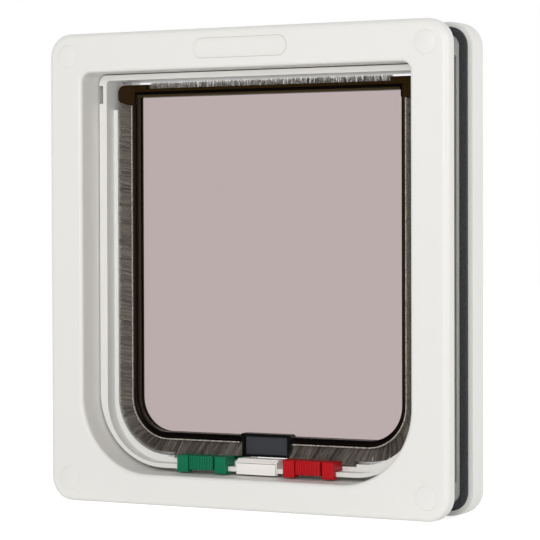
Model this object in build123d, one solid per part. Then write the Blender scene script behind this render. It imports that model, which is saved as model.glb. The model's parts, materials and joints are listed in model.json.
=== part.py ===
from build123d import *
import os

# A four-way pet door in moulded plastic: an inside frame and an outside frame clamp a door leaf,
# and their tunnels nest and line the hole. A smoked flap with brush edges hangs in the outside
# frame's tunnel, a magnet closes it, and two sliders lock it against swinging in or out.
# All sizes are in millimetres. While it is drawn, X runs across the door, Y runs from the inside
# face (Y 0) to the outside, and Z runs up from the door's mid-height.

# Overall size and the door leaf between the frames
WIDTH = 235.0
HEIGHT = 250.0
CORNER_RADIUS = 12.5
DOOR_THICKNESS = 22.4

# Inside frame
INSIDE_EDGE = 8.0
INSIDE_ROUND = 3.0
WALL = 2.4
BAND_SIDE = 20.5
BAND_TOP = 21.0
BAND_BOTTOM = 16.2
OPENING_LOWER_RADIUS = 40.0
OPENING_UPPER_RADIUS = 5.0
OPENING_ROUND = 2.0
INSIDE_TUNNEL = 19.0
LABEL_LENGTH = 55.0
LABEL_HEIGHT = 10.0
LABEL_BAND = 0.9
LABEL_RAISED = 0.4

# Outside frame and its tunnel, which carries the flap
OUTSIDE_EDGE = 17.6
OUTSIDE_ROUND = 6.0
TUNNEL_GAP = 0.6
CLIP_ROOM = 2.1
TUNNEL_REACH = 13.2
TUNNEL_SIDE = 4.6
TUNNEL_TOP = 3.0
TUNNEL_FLOOR = 2.4
STEP_DEPTH = 7.4
STEP_SIDE = 2.3
LEDGE_RISE = 3.7
LEDGE_RELIEF_HALF = 54.7
LEDGE_RELIEF = 1.4
LEDGE_RELIEF_REACH = 12.9
BORE_LOWER_RADIUS = 30.5
BORE_UPPER_RADIUS = 2.0
BORE_ROUND = 2.0
LAND_WIDTH = 9.0
LAND_DEPTH = 3.0

# Weather seal round the outside frame's rim
SEAL_INSET = 2.6
SEAL_WIDTH = 4.0
SEAL_THICKNESS = 1.8

# Screws and caps at the corners
SCREW_INSET = 12.0
SCREW_RADIUS = 2.0
SCREW_GRIP = 12.0
SCREW_TIP_ROOM = 1.0
HEAD_RADIUS = 4.0
HEAD_HEIGHT = 2.6
HEAD_CHAMFER = 1.0
HEAD_SEAT = 4.6
CAP_RADIUS = 6.0
CAP_DOME = 0.5
INSIDE_BOSS_RADIUS = 7.5
OUTSIDE_BOSS_RADIUS = 5.5

# Hinge
HINGE_DROP = 7.4
HINGE_BEHIND_RIM = 1.1
PIN_RADIUS = 1.5
PIN_GRIP = 11.0
PIN_HEAD_RADIUS = 3.8
PIN_HEAD_HEIGHT = 1.4
NOTCH_HALF = 4.8
NOTCH_DEPTH = 2.4
LUG_HALF = 5.4
LUG_LENGTH = 18.3
LUG_END_GAP = 0.7
LUG_CORNER = 4.0
LUG_ROUND = 1.2
POCKET_DROP = 8.0
POCKET_BACK = 7.0

# Flap
PILE_SIDE = 7.7
PILE_BOTTOM = 8.6
FLAP_BAR_RISE = 3.2
FLAP_LOWER_RADIUS = 22.0
FLAP_UPPER_RADIUS = 1.5
FLAP_RIM_SIDE = 2.7
FLAP_RIM_LOWER = 3.5
FLAP_BAR_WIDTH = 4.6
FLAP_RIM_FRONT = 4.5
FLAP_RIM_BACK = 3.5
FLAP_RIM_ROUND = 1.2
PANEL_CORNER = 0.6
PANEL_FRONT = 0.1
PANEL_THICKNESS = 2.6

# Flap magnet and the carrier that clips into the flap's edge round it, with a catch at each side
MAGNET_LENGTH = 25.4
MAGNET_HEIGHT = 9.8
MAGNET_THICKNESS = 4.0
MAGNET_SUNK = 1.0
HOLDER_WALL = 1.5
HOLDER_FLOOR = 0.9
HOLDER_CLEAR = 0.3
HOLDER_SLOPE = 1.7
CATCH_DROP = 2.7
CATCH_GAP = 0.15
CATCH_FRONT = 3.0
CATCH_BACK = 1.4

# Brush strips on the flap's edges
BRUSH_TIP_GAP = 0.3
BRUSH_FRONT = 5.5
BRUSH_BACK = 2.5
BRUSH_TOP_FRONT = 2.5
BRUSH_TOP_BACK = 1.5
BRUSH_TOP_HEIGHT = 3.3
BRUSH_SLIDER_GAP = 0.5

# Magnet housing in the middle of the tunnel's front edge
HOUSING_HALF = 12.1
HOUSING_RISE = 4.5
HOUSING_PROUD = 0.6
HOUSING_BACK = 9.2
HOUSING_HANG = 1.2
HOUSING_CHAMFER_DOWN = 1.8
HOUSING_CHAMFER_BACK = 2.4
HOUSING_PAD = 0.35
HOUSING_PAD_MARGIN = 0.6
SKIRT_THICKNESS = 1.9
FRAME_MAGNET_LENGTH = 18.0
FRAME_MAGNET_WIDTH = 4.4
FRAME_MAGNET_HEIGHT = 3.2

# Lock sliders
SLIDER_LENGTH = 29.7
SLIDER_BLOCK = 6.9
SLIDER_SLOT = 0.8
SLIDER_PROUD = 3.2
SLIDER_RISE = 5.1
SLIDER_BACK = 6.7
SLIDER_HANG = 1.4
SLIDER_SKIRT = 2.8
SLIDER_CLEAR = 0.3
SLIDER_ROUND = 0.7
LIP_REACH = 1.0
GRIP_BULGE = 0.9
GRIP_SHORT = 1.7
RIB_COUNT = 10
RIB_RADIUS = 0.5
SLIDER_TRAVEL = 2.5
NOSE_GAP = 0.4
NOSE_FRONT = 1.8
ARM_SET_BACK = 5.0
ARM_WIDTH = 6.5
ARM_THICKNESS = 1.9
HOOK_DEPTH = 3.0
HOOK_PLAY = 0.7

# Clearances between pieces that fit together, and how far a cut runs past what it cuts
SEAT_GAP = 0.05
RUNNING_GAP = 0.06
PAST = 1.0

# Depths along Y that follow from the sizes above
RIM_Y = INSIDE_EDGE + DOOR_THICKNESS
BACK_Y = RIM_Y + OUTSIDE_EDGE
TUNNEL_Y = RIM_Y - TUNNEL_REACH
STEP_Y = TUNNEL_Y + STEP_DEPTH
HINGE_Y = RIM_Y + HINGE_BEHIND_RIM
FLAP_FRONT_Y = HINGE_Y - FLAP_RIM_FRONT
FLAP_BACK_Y = HINGE_Y + FLAP_RIM_BACK

# Widths and heights that follow from the sizes above
OPENING_HALF = WIDTH / 2 - BAND_SIDE
OPENING_TOP = HEIGHT / 2 - BAND_TOP
OPENING_BOTTOM = BAND_BOTTOM - HEIGHT / 2
SCREW_X = WIDTH / 2 - SCREW_INSET
SCREW_Z = HEIGHT / 2 - SCREW_INSET
TUNNEL_HALF = OPENING_HALF - TUNNEL_GAP
TUNNEL_UPPER = OPENING_TOP - TUNNEL_GAP
TUNNEL_LOWER = OPENING_BOTTOM + CLIP_ROOM
FRONT_BORE_HALF = TUNNEL_HALF - TUNNEL_SIDE
CEILING = TUNNEL_UPPER - TUNNEL_TOP
FLOOR = TUNNEL_LOWER + TUNNEL_FLOOR
BORE_HALF = FRONT_BORE_HALF - STEP_SIDE
LEDGE = FLOOR + LEDGE_RISE
RELIEF = LEDGE - LEDGE_RELIEF
HINGE_Z = CEILING - HINGE_DROP
FLAP_HALF = BORE_HALF - PILE_SIDE
FLAP_LOWER = LEDGE + PILE_BOTTOM
FLAP_UPPER = HINGE_Z + FLAP_BAR_RISE
PANEL_HALF = FLAP_HALF - FLAP_RIM_SIDE
PANEL_LOWER = FLAP_LOWER + FLAP_RIM_LOWER
PANEL_UPPER = FLAP_UPPER - FLAP_BAR_WIDTH
LUG_OUTER = FRONT_BORE_HALF - LUG_END_GAP
LUG_INNER = LUG_OUTER - LUG_LENGTH
HOUSING_TOP = FLOOR + HOUSING_RISE
HOUSING_FRONT_Y = TUNNEL_Y - HOUSING_PROUD
HOUSING_BACK_Y = TUNNEL_Y + HOUSING_BACK
HOLDER_LOWER = HOUSING_TOP + HOLDER_CLEAR
HOLDER_HALF = MAGNET_LENGTH / 2 + HOLDER_WALL
MAGNET_LOWER = HOLDER_LOWER + HOLDER_FLOOR
HOLDER_UPPER = MAGNET_LOWER + MAGNET_HEIGHT + HOLDER_WALL
CATCH_LOWER = HOLDER_LOWER - CATCH_DROP
CATCH_INNER = HOUSING_HALF + CATCH_GAP
SLIDER_FRONT_Y = TUNNEL_Y - SLIDER_PROUD
SLIDER_BACK_Y = TUNNEL_Y + SLIDER_BACK
SLIDER_TOP = FLOOR + SLIDER_RISE
SLIDER_INNER = HOLDER_HALF + SLIDER_CLEAR + SLIDER_TRAVEL
SLIDER_OUTER = SLIDER_INNER + SLIDER_LENGTH
NOSE_LENGTH = SLIDER_INNER - SLIDER_TRAVEL - HOUSING_HALF - NOSE_GAP
ARM_LOWER = RELIEF + SLIDER_CLEAR
ARM_UPPER = ARM_LOWER + ARM_THICKNESS
HOOK_Y = HINGE_Y + CATCH_BACK + HOOK_PLAY
CHANNEL_HALF = HOLDER_HALF + NOSE_LENGTH
CHANNEL_FLOOR = CATCH_LOWER - SLIDER_CLEAR

# The finished part stands on its lower edge, with its origin under the middle of its depth
FRONT_REACH = max(CAP_DOME, LABEL_RAISED)
ORIGIN = Pos(0, -(BACK_Y - FRONT_REACH) / 2, HEIGHT / 2)


def across(face, start, end):
    """Carry an outline drawn in the door's plane from one depth to another."""
    plane = Plane(origin=(0, start, 0), x_dir=(1, 0, 0), z_dir=(0, -1, 0))
    return extrude(plane * face, amount=end - start, dir=(0, 1, 0))


def arch(half, lower, upper, lower_radius, upper_radius):
    """Rectangle with its own radius at the lower and at the upper corners."""
    face = Pos(0, (lower + upper) / 2) * Rectangle(2 * half, upper - lower)
    face = fillet(face.vertices().group_by(Axis.Y)[0], lower_radius)
    return fillet(face.vertices().group_by(Axis.Y)[-1], upper_radius)


def edge_outline(inset=0.0):
    """Outer outline that both frames share, moved inwards by an inset."""
    return RectangleRounded(WIDTH - 2 * inset, HEIGHT - 2 * inset, CORNER_RADIUS - inset)


def opening_outline(outset=0.0):
    """Inside frame's opening, or its tunnel's outer wall when moved outwards."""
    return arch(OPENING_HALF + outset, OPENING_BOTTOM - outset, OPENING_TOP + outset,
                OPENING_LOWER_RADIUS + outset, OPENING_UPPER_RADIUS + outset)


def tunnel_outline():
    """Outside of the tunnel that carries the flap."""
    return arch(TUNNEL_HALF, TUNNEL_LOWER, TUNNEL_UPPER,
                OPENING_LOWER_RADIUS - TUNNEL_GAP, OPENING_UPPER_RADIUS - TUNNEL_GAP)


def bore_outline(outset=0.0):
    """Passage behind the step, where the brush sweeps."""
    return arch(BORE_HALF + outset, LEDGE - outset, CEILING + outset,
                BORE_LOWER_RADIUS + outset, BORE_UPPER_RADIUS + outset)


def front_bore_outline():
    """Wider passage in front of the step, where the sliders lie."""
    return arch(FRONT_BORE_HALF, FLOOR, CEILING, BORE_LOWER_RADIUS + STEP_SIDE, BORE_UPPER_RADIUS)


def flap_outline(outset=0.0):
    """Flap's outer edge."""
    return arch(FLAP_HALF + outset, FLAP_LOWER - outset, FLAP_UPPER + outset,
                FLAP_LOWER_RADIUS + outset, FLAP_UPPER_RADIUS + outset)


def panel_outline():
    """Clear panel inside the flap's rim."""
    return arch(PANEL_HALF, PANEL_LOWER, PANEL_UPPER,
                FLAP_LOWER_RADIUS - FLAP_RIM_LOWER, PANEL_CORNER)


def block(x, y, z):
    """Box between the two ends given along each axis."""
    middle = [(low + high) / 2 for low, high in (x, y, z)]
    size = [abs(high - low) for low, high in (x, y, z)]
    return Pos(*middle) * Box(*size)


def rod_y(x, z, start, end, radius):
    """Round bar along Y."""
    return Pos(x, (start + end) / 2, z) * Rot(90, 0, 0) * Cylinder(radius, end - start)


def rod_x(y, z, start, end, radius):
    """Round bar along X."""
    return Pos((start + end) / 2, y, z) * Rot(0, 90, 0) * Cylinder(radius, abs(end - start))


def corners():
    """Places of the four fixing screws, as X and Z."""
    return [(side * SCREW_X, level * SCREW_Z) for side in (-1, 1) for level in (-1, 1)]


def at_corners(piece):
    """One copy of a piece at each corner, as separate solids."""
    group = Part()
    for x, z in corners():
        group += Pos(x, 0, z) * piece
    return group


def inside_frame():
    """Face plate with a turned-back edge, a tunnel through the door and a boss at each corner."""
    plate = across(edge_outline(), 0, INSIDE_EDGE)
    plate = fillet(plate.edges().group_by(Axis.Y)[0], INSIDE_ROUND)
    plate -= across(edge_outline(WALL), WALL, INSIDE_EDGE)
    plate += across(opening_outline(WALL), WALL, INSIDE_EDGE + INSIDE_TUNNEL)
    for x, z in corners():
        plate += rod_y(x, z, WALL, INSIDE_EDGE, INSIDE_BOSS_RADIUS)
    plate -= across(opening_outline(), 0, INSIDE_EDGE + INSIDE_TUNNEL)
    mouth = plate.edges().group_by(Axis.Y)[0]
    mouth = mouth.filter_by_position(Axis.X, -OPENING_HALF - PAST, OPENING_HALF + PAST)
    mouth = mouth.filter_by_position(Axis.Z, OPENING_BOTTOM - PAST, OPENING_TOP + PAST)
    plate = fillet(mouth, OPENING_ROUND)
    for x, z in corners():
        plate -= rod_y(x, z, 0, HEAD_SEAT, CAP_RADIUS + SEAT_GAP)
        plate -= rod_y(x, z, HEAD_SEAT, INSIDE_EDGE, SCREW_RADIUS + SEAT_GAP)
    label_z = (OPENING_TOP + HEIGHT / 2) / 2
    label = Pos(0, label_z) * SlotOverall(LABEL_LENGTH, LABEL_HEIGHT)
    label -= Pos(0, label_z) * SlotOverall(LABEL_LENGTH - 2 * LABEL_BAND, LABEL_HEIGHT - 2 * LABEL_BAND)
    return plate + across(label, -LABEL_RAISED, 0)


def hinge_cuts(side):
    """Room for one hinge lug to turn in, the pin's head and the pin."""
    outer = side * (TUNNEL_HALF + PAST)
    wall = side * (TUNNEL_HALF - NOTCH_DEPTH)
    bore = side * (BORE_HALF - PAST)
    pocket = block((bore, side * FRONT_BORE_HALF), (STEP_Y, HINGE_Y + POCKET_BACK),
                   (HINGE_Z - POCKET_DROP, CEILING))
    notch = block((wall, outer), (TUNNEL_Y - PAST, HINGE_Y), (HINGE_Z - NOTCH_HALF, HINGE_Z + NOTCH_HALF))
    notch += rod_x(HINGE_Y, HINGE_Z, wall, outer, NOTCH_HALF)
    return pocket + notch + rod_x(HINGE_Y, HINGE_Z, bore, outer, PIN_RADIUS + RUNNING_GAP)


def outside_frame():
    """Deep rounded frame with a land for the seal, screw bosses and the stepped tunnel."""
    shell = across(edge_outline(), RIM_Y, BACK_Y)
    shell = fillet(shell.edges().group_by(Axis.Y)[-1], OUTSIDE_ROUND)
    cavity = across(edge_outline(WALL), RIM_Y + LAND_DEPTH, BACK_Y - WALL)
    cavity = fillet(cavity.edges().group_by(Axis.Y)[-1], OUTSIDE_ROUND - WALL)
    cavity -= across(bore_outline(WALL), RIM_Y, BACK_Y)
    mouth = across(edge_outline(LAND_WIDTH), RIM_Y, RIM_Y + LAND_DEPTH)
    mouth -= across(tunnel_outline(), RIM_Y, RIM_Y + LAND_DEPTH)
    shell -= cavity
    shell -= mouth
    shell += across(tunnel_outline(), TUNNEL_Y, RIM_Y + LAND_DEPTH)
    for x, z in corners():
        shell += rod_y(x, z, RIM_Y, BACK_Y - WALL, OUTSIDE_BOSS_RADIUS)
        shell -= rod_y(x, z, RIM_Y, RIM_Y + SCREW_GRIP + SCREW_TIP_ROOM, SCREW_RADIUS + SEAT_GAP)
    shell -= across(bore_outline(), STEP_Y, BACK_Y)
    back = shell.edges().group_by(Axis.Y)[-1]
    back = back.filter_by_position(Axis.X, -BORE_HALF - PAST, BORE_HALF + PAST)
    back = back.filter_by_position(Axis.Z, LEDGE - PAST, CEILING + PAST)
    shell = fillet(back, BORE_ROUND)
    shell -= across(front_bore_outline(), TUNNEL_Y, STEP_Y)
    shell -= block((-LEDGE_RELIEF_HALF, LEDGE_RELIEF_HALF), (STEP_Y, STEP_Y + LEDGE_RELIEF_REACH),
                   (RELIEF, LEDGE + PAST))
    shell -= block((-CHANNEL_HALF, CHANNEL_HALF), (STEP_Y, BACK_Y), (CHANNEL_FLOOR, LEDGE + PAST))
    rim_notch = HOUSING_HALF + SEAT_GAP
    shell -= block((-rim_notch, rim_notch), (TUNNEL_Y, HOUSING_FRONT_Y + SKIRT_THICKNESS + SEAT_GAP),
                   (TUNNEL_LOWER, FLOOR))
    for side in (-1, 1):
        shell -= hinge_cuts(side)
    return shell


def weather_seal():
    """Foam ring stuck to the land round the outside frame's rim."""
    ring = edge_outline(SEAL_INSET) - edge_outline(SEAL_INSET + SEAL_WIDTH)
    return across(ring, RIM_Y - SEAL_THICKNESS, RIM_Y)


def turned(points):
    """Round solid about a line along Y, from a profile of radius and depth."""
    return revolve(make_face(Polyline(*points, close=True)), Axis.Y)


def fixing_screws():
    """Four pan-head screws through the inside frame into the outside frame's bosses."""
    top = HEAD_SEAT - HEAD_HEIGHT
    tip = RIM_Y + SCREW_GRIP
    taper = SCREW_RADIUS
    screw = turned([(0, top), (HEAD_RADIUS - HEAD_CHAMFER, top), (HEAD_RADIUS, top + HEAD_CHAMFER),
                    (HEAD_RADIUS, HEAD_SEAT), (SCREW_RADIUS, HEAD_SEAT), (SCREW_RADIUS, tip - taper),
                    (SCREW_RADIUS / 2, tip), (0, tip)])
    return at_corners(screw)


def screw_caps():
    """Four shallow domed caps that close the screw holes."""
    back = HEAD_SEAT - HEAD_HEIGHT
    crown = ThreePointArc((0, -CAP_DOME), (CAP_RADIUS / 2, -0.75 * CAP_DOME), (CAP_RADIUS, 0))
    sides = Polyline((CAP_RADIUS, 0), (CAP_RADIUS, back), (0, back), (0, -CAP_DOME))
    cap = revolve(make_face(crown + sides), Axis.Y)
    return at_corners(cap)


def hinge_lug():
    """Flat lug with a rounded end at the top of the flap's right side, clear of the panel."""
    middle = (LUG_INNER + LUG_OUTER) / 2
    face = Pos(middle, HINGE_Z) * Rectangle(LUG_LENGTH, 2 * LUG_HALF)
    face = fillet(face.vertices().group_by(Axis.X)[-1], LUG_CORNER)
    lug = across(face, FLAP_FRONT_Y, FLAP_BACK_Y)
    lug = fillet(lug.edges().group_by(Axis.Y)[0] + lug.edges().group_by(Axis.Y)[-1], LUG_ROUND)
    return lug - block((0, PANEL_HALF), (FLAP_FRONT_Y, FLAP_BACK_Y), (HINGE_Z - 2 * LUG_HALF, PANEL_UPPER))


def flap_panel():
    """Smoked moulding: panel, raised rim and hinge lugs, cut away for the magnet carrier."""
    rim = across(flap_outline(), FLAP_FRONT_Y, FLAP_BACK_Y)
    rim -= across(panel_outline(), FLAP_FRONT_Y, FLAP_BACK_Y)
    rim = fillet(rim.edges().group_by(Axis.Y)[0], FLAP_RIM_ROUND)
    panel_y = HINGE_Y - PANEL_FRONT
    flap = rim + across(panel_outline(), panel_y, panel_y + PANEL_THICKNESS)
    lug = hinge_lug()
    flap += lug
    flap += mirror(lug, Plane.YZ)
    flap -= across(carrier_outline(SEAT_GAP), FLAP_FRONT_Y, HINGE_Y + CATCH_BACK + SEAT_GAP)
    for side in (-1, 1):
        flap -= rod_x(HINGE_Y, HINGE_Z, side * (FRONT_BORE_HALF - PIN_GRIP), side * FRONT_BORE_HALF,
                      PIN_RADIUS + SEAT_GAP)
    return flap


def carrier_outline(outset=0.0):
    """Magnet carrier seen from the front: a block with a rib at each side that holds it in the flap."""
    half = HOLDER_HALF + outset
    rib = half + HOLDER_SLOPE
    rib_z = PANEL_LOWER - HOLDER_SLOPE / 2
    lower = HOLDER_LOWER - outset
    upper = HOLDER_UPPER + outset
    side = [(half, lower), (half, rib_z - HOLDER_SLOPE / 2 - outset), (rib, rib_z), (half, upper)]
    return make_face(Polyline(*side, *[(-x, z) for x, z in reversed(side)], close=True))


def magnet_carrier():
    """Black carrier that holds the magnet in the flap's lower edge, with a catch at each side."""
    carrier = across(carrier_outline(), FLAP_FRONT_Y, HINGE_Y + CATCH_BACK)
    for side in (-1, 1):
        carrier += block((side * CATCH_INNER, side * HOLDER_HALF),
                         (HINGE_Y - CATCH_FRONT, HINGE_Y + CATCH_BACK), (CATCH_LOWER, MAGNET_LOWER))
    room = MAGNET_LENGTH / 2 + SEAT_GAP
    return carrier - block((-room, room), (FLAP_FRONT_Y, FLAP_FRONT_Y + MAGNET_SUNK + MAGNET_THICKNESS),
                           (MAGNET_LOWER, MAGNET_LOWER + MAGNET_HEIGHT + SEAT_GAP))


def flap_magnet():
    """Ferrite bar in the carrier's pocket, with eased front edges."""
    front = FLAP_FRONT_Y + MAGNET_SUNK
    bar = block((-MAGNET_LENGTH / 2, MAGNET_LENGTH / 2), (front, front + MAGNET_THICKNESS),
                (MAGNET_LOWER, MAGNET_LOWER + MAGNET_HEIGHT))
    return fillet(bar.edges().group_by(Axis.Y)[0], MAGNET_SUNK / 2)


def hinge_pin(side):
    """Headed pin pushed through the tunnel wall into the flap's lug."""
    inner = FRONT_BORE_HALF - PIN_GRIP
    seat = TUNNEL_HALF - NOTCH_DEPTH + RUNNING_GAP
    pin = rod_x(HINGE_Y, HINGE_Z, inner, seat, PIN_RADIUS)
    pin += rod_x(HINGE_Y, HINGE_Z, seat, seat + PIN_HEAD_HEIGHT, PIN_HEAD_RADIUS)
    return pin if side > 0 else mirror(pin, Plane.YZ)


def brush_side(side):
    """Pile strip down one side of the flap and along to the magnet carrier, trimmed above the slider."""
    pile = bore_outline(-BRUSH_TIP_GAP) - flap_outline(SEAT_GAP)
    top = HINGE_Z - LUG_HALF - BRUSH_TIP_GAP
    inner = HOLDER_HALF + HOLDER_SLOPE + BRUSH_TIP_GAP
    depth = (HINGE_Y - BRUSH_FRONT, HINGE_Y + BRUSH_BACK)
    strip = across(pile, *depth)
    keep = block((side * inner, side * BORE_HALF), depth, (LEDGE, top))
    trim = block((0, side * (SLIDER_OUTER + BRUSH_SLIDER_GAP)), depth, (LEDGE, SLIDER_TOP + BRUSH_SLIDER_GAP))
    return (strip & keep) - trim


def brush_top():
    """Short pile strip along the flap's top bar, between the hinge lugs."""
    half = LUG_INNER - BRUSH_TIP_GAP
    return block((-half, half), (HINGE_Y - BRUSH_TOP_FRONT, HINGE_Y + BRUSH_TOP_BACK),
                 (FLAP_UPPER, FLAP_UPPER + BRUSH_TOP_HEIGHT))


def magnet_housing():
    """White block clipped over the tunnel's front edge, hollow underneath for the frame magnet."""
    face_y = HOUSING_FRONT_Y + HOUSING_PAD
    lower = TUNNEL_LOWER - HOUSING_HANG
    body = block((-HOUSING_HALF, HOUSING_HALF), (face_y, HOUSING_BACK_Y), (FLOOR, HOUSING_TOP))
    crest = body.edges().group_by(Axis.Y)[0].sort_by(Axis.Z)[-1]
    body = chamfer(crest, HOUSING_CHAMFER_DOWN, HOUSING_CHAMFER_BACK,
                   reference=body.faces().sort_by(Axis.Y)[0])
    body -= block((-HOUSING_HALF, HOUSING_HALF), (STEP_Y - SLIDER_CLEAR, HOUSING_BACK_Y),
                  (FLOOR, CHANNEL_FLOOR + SEAT_GAP))
    body += block((-HOUSING_HALF, HOUSING_HALF), (face_y, HOUSING_FRONT_Y + SKIRT_THICKNESS), (lower, FLOOR))
    pad_half = HOUSING_HALF - HOUSING_PAD_MARGIN
    body += block((-pad_half, pad_half), (HOUSING_FRONT_Y, face_y),
                  (lower, HOUSING_TOP - HOUSING_CHAMFER_DOWN - HOUSING_PAD_MARGIN))
    length = FRAME_MAGNET_LENGTH / 2 + SEAT_GAP
    start = HOUSING_FRONT_Y + SKIRT_THICKNESS
    return body - block((-length, length), (start, start + FRAME_MAGNET_WIDTH + 2 * SEAT_GAP),
                        (FLOOR, FLOOR + FRAME_MAGNET_HEIGHT + SEAT_GAP))


def frame_magnet():
    """Bar magnet in the housing, resting on the tunnel's floor."""
    start = HOUSING_FRONT_Y + SKIRT_THICKNESS + SEAT_GAP
    return block((-FRAME_MAGNET_LENGTH / 2, FRAME_MAGNET_LENGTH / 2), (start, start + FRAME_MAGNET_WIDTH),
                 (FLOOR, FLOOR + FRAME_MAGNET_HEIGHT))


def slider_grip(left, right):
    """Bowed thumb grip with upright ribs, cut free of the blocks beside it."""
    lower = TUNNEL_LOWER - SLIDER_HANG + GRIP_SHORT
    middle = (left + right) / 2
    front = SLIDER_FRONT_Y
    bow = ThreePointArc((left, front), (middle, front - GRIP_BULGE), (right, front))
    back = TUNNEL_Y - SLIDER_CLEAR
    plan = make_face(bow + Polyline((right, front), (right, back), (left, back), (left, front)))
    grip = Pos(0, 0, lower) * extrude(plan, amount=SLIDER_TOP - lower)
    for place in range(RIB_COUNT):
        share = (place + 0.5) / RIB_COUNT
        at = bow.position_at(share)
        height = SLIDER_TOP - lower - 2 * RIB_RADIUS
        rib = Cylinder(RIB_RADIUS, height, align=(Align.CENTER, Align.CENTER, Align.MIN))
        grip += Pos(at.X, at.Y, lower + RIB_RADIUS) * rib
    return grip


def lock_slider(side):
    """Saddle that clips over the tunnel's front edge: two blocks, a grip, and its lock at the back."""
    inner = SLIDER_INNER
    outer = SLIDER_OUTER
    skirt_low = TUNNEL_LOWER - SLIDER_HANG
    skirt_back = SLIDER_FRONT_Y + SLIDER_SKIRT
    slider = block((inner, outer), (skirt_back, SLIDER_BACK_Y), (FLOOR + SLIDER_CLEAR, SLIDER_TOP))
    for low, high in ((inner, inner + SLIDER_BLOCK), (outer - SLIDER_BLOCK, outer)):
        post = block((low, high), (SLIDER_FRONT_Y, skirt_back), (skirt_low, SLIDER_TOP))
        post = fillet(post.edges().group_by(Axis.Y)[0], SLIDER_ROUND)
        slider += post
        slider += block((low, high), (skirt_back, TUNNEL_Y + LIP_REACH),
                        (skirt_low, TUNNEL_LOWER - SLIDER_CLEAR))
    slider += slider_grip(inner + SLIDER_BLOCK + SLIDER_SLOT, outer - SLIDER_BLOCK - SLIDER_SLOT)
    nose = inner - NOSE_LENGTH
    if side > 0:
        slider += block((nose, inner), (TUNNEL_Y + NOSE_FRONT, SLIDER_BACK_Y),
                        (FLOOR + SLIDER_CLEAR, SLIDER_TOP))
        return slider
    arm = inner + ARM_SET_BACK
    slider += block((arm, arm + ARM_WIDTH), (SLIDER_BACK_Y, HOOK_Y + HOOK_DEPTH), (ARM_LOWER, ARM_UPPER))
    slider += block((nose, arm), (HOOK_Y, HOOK_Y + HOOK_DEPTH), (ARM_LOWER, ARM_UPPER))
    return mirror(slider, Plane.YZ)


PIECES = {
    "inside_frame": inside_frame,
    "outside_frame": outside_frame,
    "weather_seal": weather_seal,
    "fixing_screws": fixing_screws,
    "screw_caps": screw_caps,
    "magnet_housing": magnet_housing,
    "frame_magnet": frame_magnet,
    "flap_panel": flap_panel,
    "magnet_carrier": magnet_carrier,
    "flap_magnet": flap_magnet,
    "hinge_pin_left": lambda: hinge_pin(-1),
    "hinge_pin_right": lambda: hinge_pin(1),
    "brush_left": lambda: brush_side(-1),
    "brush_right": lambda: brush_side(1),
    "brush_top": brush_top,
    "exit_lock_slider": lambda: lock_slider(-1),
    "entry_lock_slider": lambda: lock_slider(1),
}

os.makedirs("parts", exist_ok=True)
for node, make in PIECES.items():
    export_step(ORIGIN * make(), os.path.join("parts", node + ".step"))
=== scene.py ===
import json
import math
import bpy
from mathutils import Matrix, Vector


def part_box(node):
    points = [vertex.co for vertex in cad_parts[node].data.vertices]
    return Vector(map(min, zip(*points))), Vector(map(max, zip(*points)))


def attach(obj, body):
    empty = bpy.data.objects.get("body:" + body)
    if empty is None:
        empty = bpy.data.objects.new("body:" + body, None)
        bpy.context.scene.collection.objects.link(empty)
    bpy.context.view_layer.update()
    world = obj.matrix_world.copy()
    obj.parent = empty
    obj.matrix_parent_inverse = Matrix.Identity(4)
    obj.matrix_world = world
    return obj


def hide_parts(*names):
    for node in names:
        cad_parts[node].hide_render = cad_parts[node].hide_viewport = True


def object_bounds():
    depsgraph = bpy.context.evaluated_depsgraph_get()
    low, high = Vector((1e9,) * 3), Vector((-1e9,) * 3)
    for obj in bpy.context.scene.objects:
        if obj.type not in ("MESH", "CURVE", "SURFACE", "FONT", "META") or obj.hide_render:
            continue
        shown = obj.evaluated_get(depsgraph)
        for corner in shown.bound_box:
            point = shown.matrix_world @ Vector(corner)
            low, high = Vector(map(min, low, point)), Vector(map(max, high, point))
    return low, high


bl_info = {
    "name": "Pet Door Dressing",
    "version": (1, 0, 0),
    "blender": (4, 5, 0),
    "location": "View3D > Sidebar > Pet Door",
    "description": "Finishes the moulded frames, smoked flap, brush strips and lock sliders of a pet door",
    "category": "Object",
}

import bmesh
import bpy
from bpy.props import FloatProperty, FloatVectorProperty, IntProperty, PointerProperty
from mathutils import Matrix, Vector

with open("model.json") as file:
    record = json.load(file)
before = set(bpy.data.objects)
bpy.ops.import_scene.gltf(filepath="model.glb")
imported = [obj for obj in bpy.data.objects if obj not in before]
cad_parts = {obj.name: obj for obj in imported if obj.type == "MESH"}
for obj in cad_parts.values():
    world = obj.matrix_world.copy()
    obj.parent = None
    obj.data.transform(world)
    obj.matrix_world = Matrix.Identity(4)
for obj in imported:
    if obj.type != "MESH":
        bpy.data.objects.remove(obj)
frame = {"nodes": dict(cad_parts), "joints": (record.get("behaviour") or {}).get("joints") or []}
CAD_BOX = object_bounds()
NODES = frame["nodes"]
HINGE = next(joint for joint in frame["joints"] if joint["name"] == "flap_hinge")
HINGE_Y = HINGE["pos_m"][1]

MM = 0.001
SMOOTH_BELOW = math.radians(30)
MERGE_BELOW = 0.001 * MM

# Studio light: strength all round, and what shiny faces mirror from the camera's side of the room
AMBIENT_LIGHT = 0.53
ROOM_LIGHT = 0.1

# Where that dim room ends and the white behind the door starts, along Y
ROOM_ENDS = -0.3
WHITE_STARTS = 0.2

# Soft boxes: name, place and width in metres, and power in watts
LIGHTS = (("key_light", (0.4, -1.8, 0.42), 0.8, 13.0), ("side_light", (1.9, 0.35, 0.65), 1.2, 8.5))

FLOOR_REACH = 4.0
FLOOR_WHITE = "#F4F4F4"

# Floor's own light: what fades it into the background, and what it gives the object
FLOOR_LIFT = 0.6
FLOOR_GLOW = 0.14

SENSOR_WIDTH = 36.0

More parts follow.
